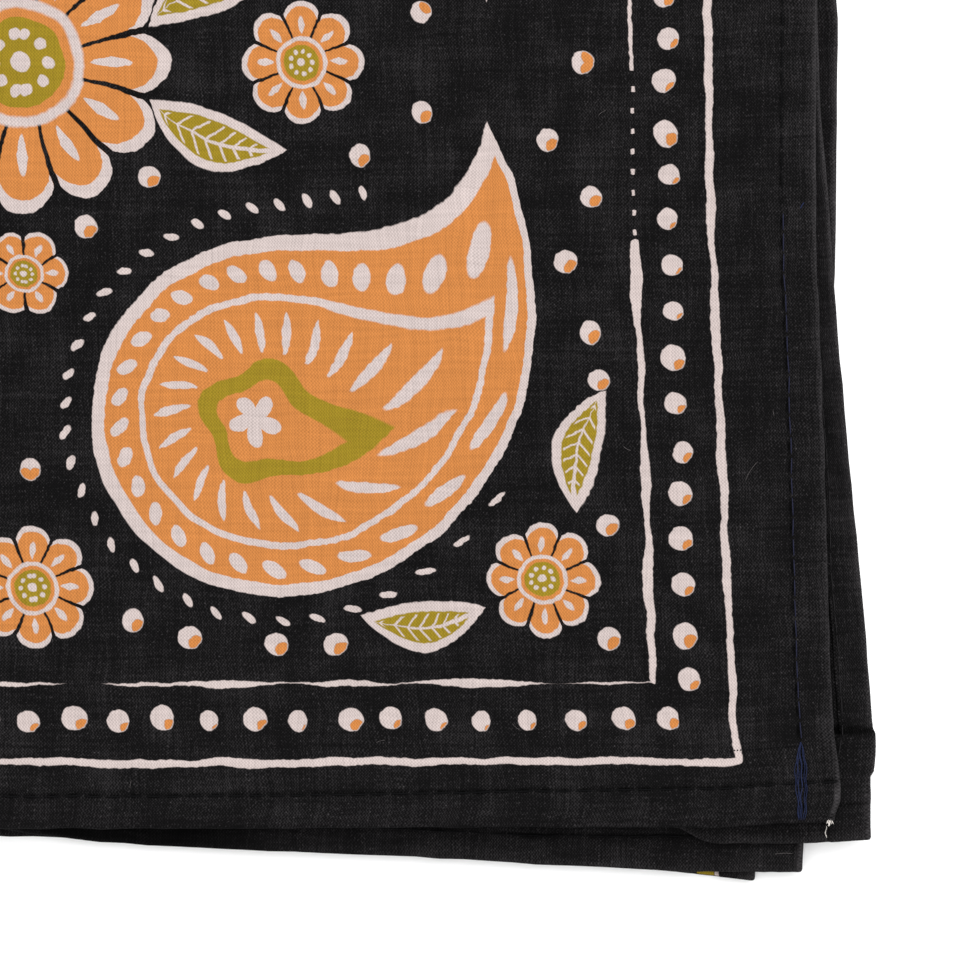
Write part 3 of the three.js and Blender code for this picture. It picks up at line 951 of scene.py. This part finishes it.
# The sewing: one row of stitches along every hem, of which these sides show.
sewing = {
    "thread": 0.085, "share": 0.48, "proud": 0.03, "offGroove": 0.12, "navyOffGroove": 0.3,
    "navyFrom": 11.5, "navyTo": 88.0, "sideFrom": 4,
    "sides": 6, "flat": 0.8, "reachLeast": 0.94, "reachLuck": 0.12, "slantLuck": 0.1,
    "rings": [  # (way along a stitch, thickness, rise)
        (-1.0, 0.35, -0.14), (-0.7, 0.9, 0.0), (0.0, 1.1, 0.03), (0.7, 0.9, 0.0), (1.0, 0.35, -0.14)],
}


def seamPoint(name, edge, at, out):  # a point over the seam, at mm from the corner
    navy = name == "front" and edge == "side" and at < sewing["navyTo"]
    off = seamFrom(name, edge, at) - sewing["navyOffGroove" if navy else "offGroove"]
    across, up = (off, at) if edge == "side" else (at, off)
    if name in ("third", "back"):
        across = acrossLength - across
    if name in ("second", "third"):
        up = upLength - up
    return place(across, up, out)


def stitchRow(points, faces, name, edge, first, last, out):
    rings, sides = sewing["rings"], sewing["sides"]
    outward = 1 if out > 0 else -1
    for k in range(int(first / square["stitch"]), int(last / square["stitch"])):
        middle = (k + 0.5) * square["stitch"]
        luck = sewing["reachLeast"] + sewing["reachLuck"] * noise.random()
        reach = square["stitch"] * sewing["share"] * luck
        slant = sewing["slantLuck"] * (noise.random() - 0.5)
        begin = seamPoint(name, edge, middle - reach, out)
        finish = seamPoint(name, edge, middle + reach, out)
        lifted = seamPoint(name, edge, middle, out + outward)
        normal = (lifted - seamPoint(name, edge, middle, out)).normalized()
        way = (finish - begin).normalized()
        beside = way.cross(normal).normalized()
        for onWay, thick, rise in rings:
            centre = begin.lerp(finish, (onWay + 1) / 2) + normal * (rise + sewing["proud"]) * mm
            centre += beside * slant * onWay * mm
            for n in range(sides):
                turn = 2 * math.pi * n / sides
                spoke = beside * math.cos(turn) + normal * math.sin(turn) * sewing["flat"]
                points.append(centre + spoke * sewing["thread"] * thick * mm)
        skin(faces, len(points) - len(rings) * sides, len(rings), sides)


def finishMesh(name, points, faces, thread):
    mesh = bpy.data.meshes.new(name)
    mesh.from_pydata(points, [], faces)
    mesh.materials.append(threads[thread])
    for face in mesh.polygons:
        face.use_smooth = True
    piece = addObject(name, mesh)
    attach(piece, "root")


def sewHems():
    noise.seed_set(7)
    over, under = half, -(2 * square["hemRadius"] + half)
    navyFrom, navyTo = sewing["navyFrom"], sewing["navyTo"]
    pieces = [("navySeam", "navySewn", [("front", "side", navyFrom, navyTo, over)]),
              ("frontSeams", "blackThread", [("front", "side", navyTo + 1, quarter, over),
                                             ("front", "bottom", 0, quarter, over)])]
    for name, side in (("second", under), ("third", over), ("back", under)):
        thread = "greyThread" if name == "second" else "blackThread"
        pieces.append((name + "Seams", thread, [(name, "side", sewing["sideFrom"], quarter, side),
                                                (name, "bottom", 0, quarter, side)]))
    for name, thread, rows in pieces:
        points, faces = [], []
        for row in rows:
            stitchRow(points, faces, *row)
        finishMesh(name, points, faces, thread)


sewHems()
print("hems sewn")


# Loose ends: the navy thread's tail at the corner, a thread pulled out of the weave, the raw edge that
# peeps out of the hem's corner, and fluff that has settled on the black cloth. Places are mm to the
# right of the corner and above it.
looseEnds = {
    "bundleX": -5.25, "bundleTop": 11.9, "bundleFoot": 1.0, "thread": 0.062,
    "strands": [  # (belly, foot)
        (-0.8, -0.35), (-0.62, -0.1), (-0.3, -0.4), (0.0, 0.1), (0.12, -0.15), (0.6, 0.25), (0.85, 0.45)],
    "tailSteps": 24, "tailWaves": [(0.07, 9, 1), (0.09, 23, 2)],  # (mm, turns, share of the phase)
    "tailCross": 0.12,  # how high the strands pass over each other
    "frayed": 0.07, "frayedAt": (-1.15, 0.85), "frayedLong": 0.55, "flapEdge": (-1.62, 0.2, 0.22),
    "slub": 0.026, "slubAt": (-8.8, -3.85), "slubPitch": 0.32,
    "fluffThick": (0.09, 0.022), "fluffBow": 0.22,
    "pulled": {"y": 10.7, "rise": 0.072, "from": -15.0, "to": -2.5, "pitch": 0.42, "thick": 0.1,
               "end": 0.15},
    "fluff": [  # (x, y, length, way in degrees)
        (-5.0, 87.0, 1.0, 60), (-29.5, 53, 1.2, 150), (-12.1, 49.8, 3.3, 58), (-64, 12, 1.3, 15),
        (-9, 58, 0.9, 100), (-33, 100, 1.4, 35), (-99, 6, 1.2, 80), (-45, 14, 1.5, 140)],
}


def makeTubes(name, thread, rows, sides=6):  # rows of (middle line, radius)
    points, faces = [], []
    for line, radius in rows:
        for k, centre in enumerate(line):
            ahead, behind = line[min(k + 1, len(line) - 1)], line[max(k - 1, 0)]
            way = (ahead - behind).normalized()
            beside = way.cross(Vector((0, 0, 1))).normalized()
            above = beside.cross(way)
            thin = 0.3 if k in (0, len(line) - 1) else 1.0
            for n in range(sides):
                turn = 2 * math.pi * n / sides
                spoke = beside * math.cos(turn) + above * math.sin(turn)
                points.append(centre + spoke * radius * thin * mm)
        skin(faces, len(points) - len(line) * sides, len(line), sides)
    finishMesh(name, points, faces, thread)


def onPly(x, y, out, name="front"):  # the point of a ply over x, y from the corner
    fromSide, fromBottom = -x, y
    for _ in range(5):
        across = fromSide if name in ("front", "second") else acrossLength - fromSide
        up = fromBottom if name in ("front", "back") else upLength - fromBottom
        point = place(across, up, out)
        fromSide += point.x / mm - cornerX - x
        fromBottom -= point.y / mm - cornerY - y
    return point


def makeTail():
    chooser = random.Random(3)
    rows = []
    foot, top = looseEnds["bundleFoot"], looseEnds["bundleTop"]
    for belly, atFoot in looseEnds["strands"]:
        phase = chooser.uniform(0, 6)
        line = []
        for k in range(looseEnds["tailSteps"] + 1):
            t = k / looseEnds["tailSteps"]
            wide = belly * math.sin(math.pi * t) * (1.15 - 0.6 * t) + atFoot * t * t
            for big, turns, share in looseEnds["tailWaves"]:
                wide += big * math.sin(turns * t + share * phase)
            high = half + looseEnds["thread"] * 1.5
            high += looseEnds["tailCross"] * math.sin(math.pi * t) * abs(math.sin(4 * t + phase))
            line.append(onPly(looseEnds["bundleX"] + wide + 0.15 * t, top + (foot - top) * t, high))
        rows.append((line, looseEnds["thread"]))
    makeTubes("navyTail", "navyThread", rows)


def makePulledThread():
    pulled = looseEnds["pulled"]
    rows = []
    for k in range(int((pulled["to"] - pulled["from"]) / pulled["pitch"])):
        start = pulled["from"] + k * pulled["pitch"]
        y = pulled["y"] + pulled["rise"] * k * pulled["pitch"]
        line = [onPly(start + d, y, half + 0.01) for d in (0.0, 0.08, 0.16, 0.24)]
        rows.append((line, pulled["end"] if k == 0 else pulled["thick"]))
    makeTubes("pulledThread", "blackThread", rows)


def makeRawEdge():
    rows = []
    chooser = random.Random(5)
    middleX, middleY = looseEnds["frayedAt"]
    for _ in range(9):
        x, y = middleX + chooser.uniform(-0.35, 0.3), middleY + chooser.uniform(-0.2, 0.25)
        lean = chooser.uniform(-0.3, 0.3)
        line = []
        for t in (0, 0.35, 0.7, 1):
            y2 = y - looseEnds["frayedLong"] * t
            line.append(onPly(x + lean * t, y2, half + 0.05 + 0.05 * math.sin(3 * t)))
        rows.append((line, looseEnds["frayed"]))
    flapTop = -(2 * square["hemRadius"] + half)
    x, y, pitch = looseEnds["flapEdge"]
    line = [onPly(x + 0.1 * math.sin(k), y - k * pitch, flapTop - 0.05, "second") for k in range(9)]
    rows.append((line, looseEnds["frayed"]))
    makeTubes("rawEdge", "rawThread", rows)


def makeSlub():
    x, y = looseEnds["slubAt"]
    line = []
    for k in range(9):
        bow = 0.12 * math.sin(k * 0.35)
        line.append(onPly(x + k * looseEnds["slubPitch"], y + bow, half + 0.02, "third"))
    makeTubes("paleSlub", "paleFluff", [(line, looseEnds["slub"])])


def makeFluff():
    for n, (x, y, long, way) in enumerate(looseEnds["fluff"]):
        line = []
        turn = math.radians(way)
        for k in range(9):
            t = k / 8 - 0.5
            bow = looseEnds["fluffBow"] * long * (0.25 - t * t)
            line.append(onPly(x + math.cos(turn) * t * long - math.sin(turn) * bow,
                              y + math.sin(turn) * t * long + math.cos(turn) * bow, half + 0.04))
        thread = "navyThread" if n == 0 else "paleFluff"
        makeTubes("fluff" + str(n), thread, [(line, looseEnds["fluffThick"][min(n, 1)])], 5)


makeTail()
makePulledThread()
makeRawEdge()
makeSlub()
makeFluff()
print("loose ends made")


# The floor and the light.
studio = {
    "floor": 3.0, "floorColour": linear(252, 252, 252), "sky": 1.2,
    "lamps": [("key", 38.0, (0.25, 1.6, 1.3), 0.8), ("fill", 15.0, (1.4, 0.2, 1.6), 1.6)],
}


def makeStudio():
    bpy.ops.object.select_all(action="DESELECT")
    bpy.ops.mesh.primitive_plane_add(size=studio["floor"], location=(0, 0, 0))
    floor = bpy.context.object
    floor.name = "floor"
    material, tree, shader = startMaterial("paleFloor", 0.9)
    shader.inputs["Base Color"].default_value = studio["floorColour"]
    floor.data.materials.append(material)
    scene.world = bpy.data.worlds.new("studioWorld")
    scene.world.use_nodes = True
    sky = scene.world.node_tree.nodes["Background"]
    sky.inputs[0].default_value = (1, 1, 1, 1)
    sky.inputs[1].default_value = studio["sky"]
    for name, power, place, wide in studio["lamps"]:
        data = bpy.data.lights.new(name, "AREA")
        data.energy, data.size = power, wide
        lamp = addObject(name, data)
        lamp.location = place
        lamp.rotation_euler = (-Vector(place)).to_track_quat("-Z", "Y").to_euler()


makeStudio()
scene.view_settings.view_transform = "Standard"
print("studio made")
